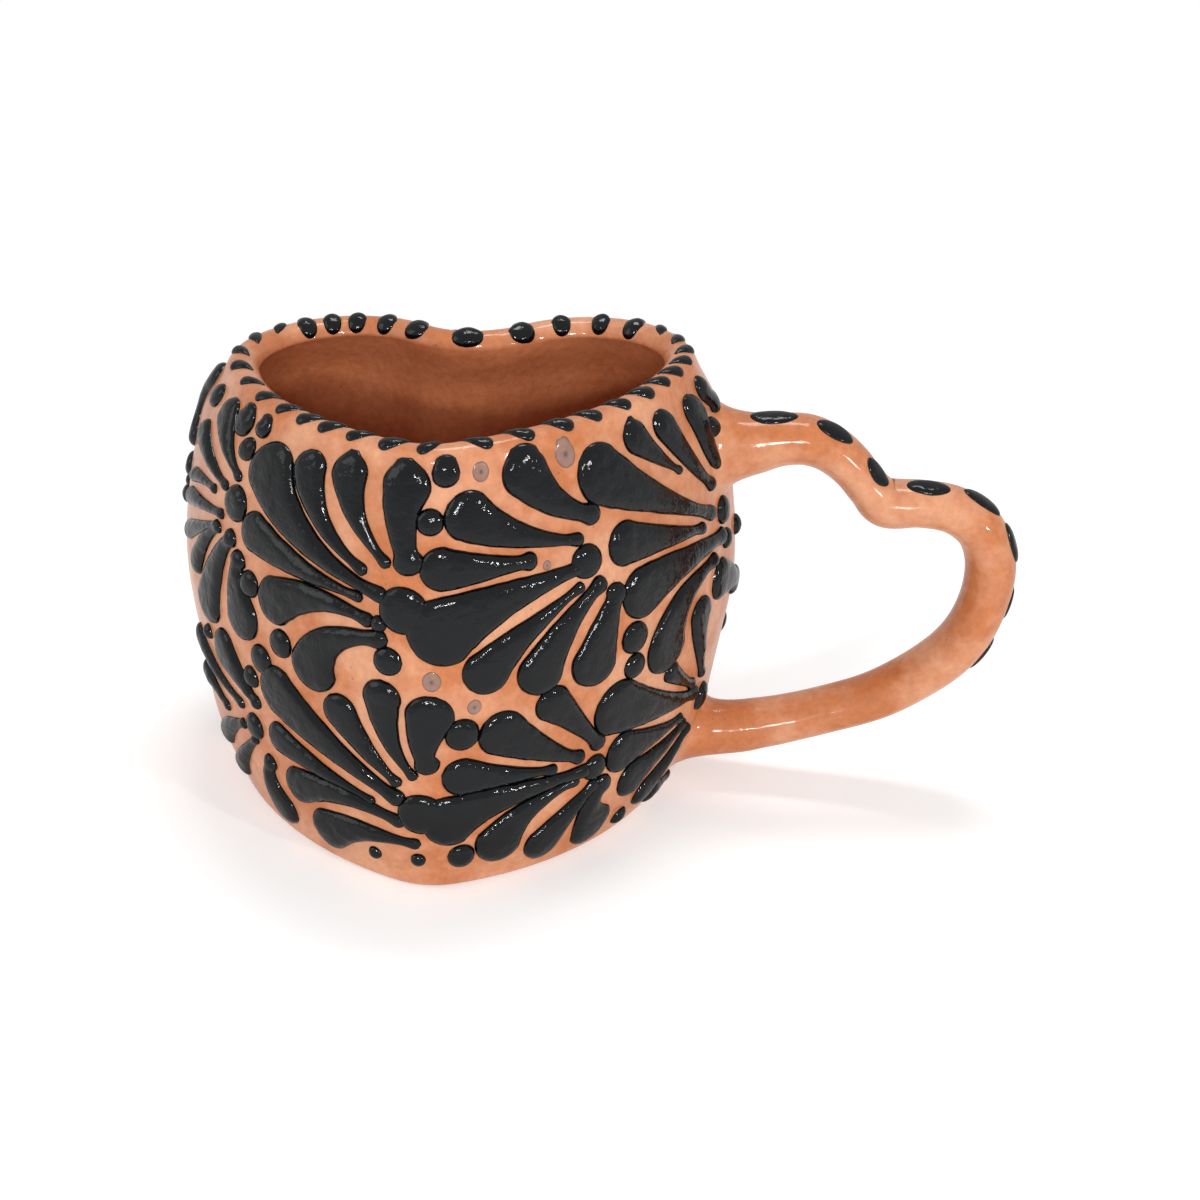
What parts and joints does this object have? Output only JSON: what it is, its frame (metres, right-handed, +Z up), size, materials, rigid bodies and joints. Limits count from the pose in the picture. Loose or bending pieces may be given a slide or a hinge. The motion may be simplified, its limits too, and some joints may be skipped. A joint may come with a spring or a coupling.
{
  "type": "talavera mug",
  "caption": "Heart-shaped clay mug with a heart-shaped loop handle, glossy glaze and raised black feather strokes, dots and rim dashes.",
  "frame": {"origin": "middle of the foot's depth on the heart's centre plane, at the table", "axes": "+X towards the handle, -Y towards the tip of the heart, +Z up"},
  "size_m": [0.164, 0.0903, 0.0901],
  "materials": {
    "glazed_clay": "clear gloss glaze over peach-orange clay",
    "black_slip": "raised gloss black slip",
    "brown_wash": "thin translucent brown slip under gloss glaze"
  },
  "bodies": {
    "root": {"mug_body": "glazed_clay", "handle": "glazed_clay", "upper_luting_slip": "glazed_clay", "lower_luting_slip": "glazed_clay", "rim_dashes": "black_slip", "handle_spots": "black_slip", "left_fan": "black_slip", "upper_fan": "black_slip", "right_fan": "black_slip", "heart_wings": "black_slip", "right_feathers": "black_slip", "lower_left_feathers": "black_slip", "lower_fan": "black_slip", "lower_right_feathers": "black_slip", "slip_dots": "black_slip", "back_upper_feathers": "black_slip", "back_lower_feathers": "black_slip", "back_dots": "black_slip", "washed_spots": "brown_wash"}
  },
  "joints": []
}
